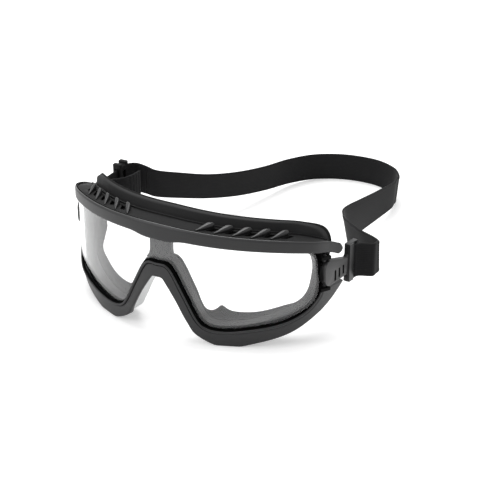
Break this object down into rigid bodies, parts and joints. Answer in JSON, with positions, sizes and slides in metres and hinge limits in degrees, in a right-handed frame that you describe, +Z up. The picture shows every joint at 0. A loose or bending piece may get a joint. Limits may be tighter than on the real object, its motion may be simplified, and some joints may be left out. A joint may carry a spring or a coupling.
{
  "type": "safety goggles",
  "caption": "Wraparound safety goggles with a clear one-piece lens, louvred brow, soft face seal, pivoting strap clips and an adjustable elastic strap.",
  "frame": {"origin": "on the surface that the goggles stand on, under the middle of the goggles' box without the strap", "axes": "+X to the right seen from the front, -Y the way the lens faces, +Z up"},
  "size_m": [0.1747, 0.2373, 0.0682],
  "materials": {
    "lens": "clear polished polycarbonate",
    "frame_black": "satin black moulding",
    "seal_rubber": "matt black soft moulding",
    "nose_silicone": "pale translucent soft moulding",
    "pin_steel": "plain drawn pin",
    "webbing": "black woven elastic"
  },
  "bodies": {
    "frame": {"lens": "lens", "brow_bar": "frame_black", "lower_bezel": "frame_black", "frame_shell": "frame_black", "bridge_post": "frame_black", "vent_deck": "frame_black", "vent_louvres_left": "frame_black", "vent_louvres_right": "frame_black", "face_seal": "seal_rubber", "nose_pad": "nose_silicone", "hinge_bracket_left": "frame_black", "hinge_bracket_right": "frame_black", "hinge_pin_left": "pin_steel", "hinge_pin_right": "pin_steel", "strap_right": "webbing", "strap_back": "webbing"},
    "clip_right": {"strap_clip_right": "frame_black", "strap_loop_right": "webbing"},
    "clip_left": {"strap_clip_left": "frame_black", "strap_loop_left": "webbing", "strap_left": "webbing", "strap_end": "webbing"},
    "slider": {"strap_slider": "frame_black"}
  },
  "joints": [
    {"name": "clip_hinge_right", "type": "hinge", "parent": "frame", "child": "clip_right", "pos_m": [0.07483, 0.00858, 0.0378], "axis": [0, 0, 1], "range_deg": [-37, 22], "deforming": ["strap_right"]},
    {"name": "clip_hinge_left", "type": "hinge", "parent": "frame", "child": "clip_left", "pos_m": [-0.07483, 0.00858, 0.0378], "axis": [0, 0, 1], "range_deg": [-17, 41], "deforming": ["strap_back"]},
    {"name": "strap_slide", "type": "slide", "parent": "clip_left", "child": "slider", "axis": [-0.061, 0.9981, 0], "range_m": [-0.0126, 0]}
  ]
}
